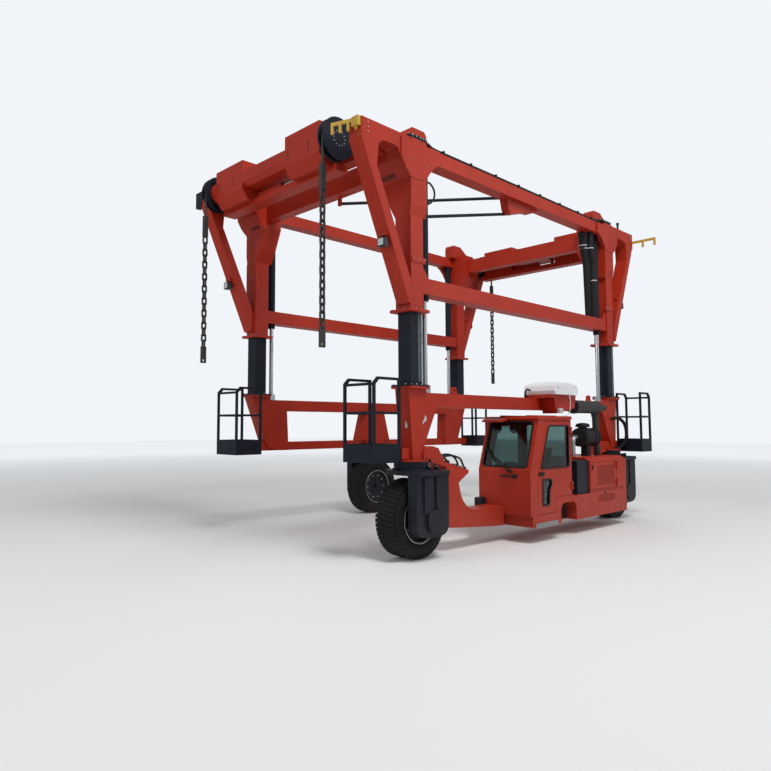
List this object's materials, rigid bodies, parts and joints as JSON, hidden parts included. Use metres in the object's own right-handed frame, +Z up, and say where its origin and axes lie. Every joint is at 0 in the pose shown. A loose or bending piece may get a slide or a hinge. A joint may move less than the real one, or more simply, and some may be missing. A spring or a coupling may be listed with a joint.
{
  "type": "three-wheeled straddle carrier",
  "caption": "Straddle carrier: a lifting gantry on telescopic masts over a low frame with a side cab and engine pod, steered wheels and chain-hung lifting beams.",
  "frame": {"origin": "on the ground, at the middle of the machine's length and overall width", "axes": "+X forward along the straddle lane, +Y to the machine's left (the cab side), +Z up"},
  "size_m": [8.42, 4.831, 6.125],
  "materials": {
    "orange_paint": "satin",
    "dark_paint": "satin",
    "chrome_rod": "polished",
    "ochre_paint": "satin",
    "white_cover": "gloss",
    "black_plastic": "matte",
    "tyre_rubber": "matte",
    "tinted_glass": "clear",
    "cast_metal": "matte",
    "lamp_housing": "satin"
  },
  "bodies": {
    "chassis": {"side_frame_left": "orange_paint", "side_frame_right": "orange_paint", "slewing_rings": "dark_paint", "masts": "dark_paint", "lift_rods": "chrome_rod", "platforms": "dark_paint", "pod_frame": "orange_paint", "cab_shell": "orange_paint", "cab_roof": "orange_paint", "cab_glass": "tinted_glass", "operator_seat": "black_plastic", "steering_console": "black_plastic", "engine_housing": "orange_paint", "engine_block": "cast_metal", "battery_box": "dark_paint", "muffler": "cast_metal", "air_cleaner": "black_plastic", "ac_unit": "white_cover"},
    "gantry": {"upper_legs": "orange_paint", "top_beams": "orange_paint", "mid_beams": "orange_paint", "braces": "orange_paint", "cross_beams": "orange_paint", "lift_barrels": "dark_paint", "top_stays": "dark_paint", "hose_sleeves": "black_plastic", "work_lamps": "lamp_housing", "chain_combs": "ochre_paint", "shift_rods": "chrome_rod"},
    "lifting_set_front": {"lifting_beam_front": "orange_paint", "sheaves_front": "dark_paint", "chains_front": "cast_metal"},
    "lifting_set_rear": {"lifting_beam_rear": "orange_paint", "sheaves_rear": "dark_paint", "chains_rear": "cast_metal"},
    "steer_front": {"fork_front": "dark_paint"},
    "steer_rear": {"fork_rear": "dark_paint"},
    "steer_right": {"fork_right": "dark_paint"},
    "wheel_front": {"tyre_front": "tyre_rubber", "rim_front": "dark_paint"},
    "wheel_rear": {"tyre_rear": "tyre_rubber", "rim_rear": "dark_paint"},
    "wheel_right": {"tyre_right": "tyre_rubber", "rim_right": "dark_paint"},
    "cab_door": {"cab_door": "orange_paint", "door_glass": "tinted_glass"},
    "engine_door": {"engine_door": "orange_paint"}
  },
  "joints": [
    {"name": "mast_lift", "type": "slide", "parent": "chassis", "child": "gantry", "axis": [0, 0, 1], "range_m": [-0.95, 0.7]},
    {"name": "side_shift_front", "type": "slide", "parent": "gantry", "child": "lifting_set_front", "axis": [0, 1, 0], "range_m": [-0.04, 0.12]},
    {"name": "side_shift_rear", "type": "slide", "parent": "gantry", "child": "lifting_set_rear", "axis": [0, 1, 0], "range_m": [-0.04, 0.12]},
    {"name": "steering_front", "type": "hinge", "parent": "chassis", "child": "steer_front", "pos_m": [2.936, 1.7505, 1.27], "axis": [0, 0, 1], "range_deg": [-40, 40]},
    {"name": "wheel_front_spin", "type": "hinge", "parent": "steer_front", "child": "wheel_front", "pos_m": [2.936, 1.7505, 0.54], "axis": [0, 1, 0], "continuous": true},
    {"name": "steering_rear", "type": "hinge", "parent": "chassis", "child": "steer_rear", "pos_m": [-2.936, 1.7505, 1.27], "axis": [0, 0, 1], "range_deg": [-40, 40]},
    {"name": "wheel_rear_spin", "type": "hinge", "parent": "steer_rear", "child": "wheel_rear", "pos_m": [-2.936, 1.7505, 0.54], "axis": [0, 1, 0], "continuous": true},
    {"name": "steering_right", "type": "hinge", "parent": "chassis", "child": "steer_right", "pos_m": [0, -1.9755, 1.27], "axis": [0, 0, 1], "range_deg": [-40, 40]},
    {"name": "wheel_right_spin", "type": "hinge", "parent": "steer_right", "child": "wheel_right", "pos_m": [0, -1.9755, 0.54], "axis": [0, 1, 0], "continuous": true},
    {"name": "cab_door_hinge", "type": "hinge", "parent": "chassis", "child": "cab_door", "pos_m": [-0.307, 2.4015, 1.27], "axis": [0, 0, 1], "range_deg": [0, 95]},
    {"name": "engine_door_hinge", "type": "hinge", "parent": "chassis", "child": "engine_door", "pos_m": [-1.937, 2.4015, 0.935], "axis": [0, 0, 1], "range_deg": [0, 100]}
  ]
}
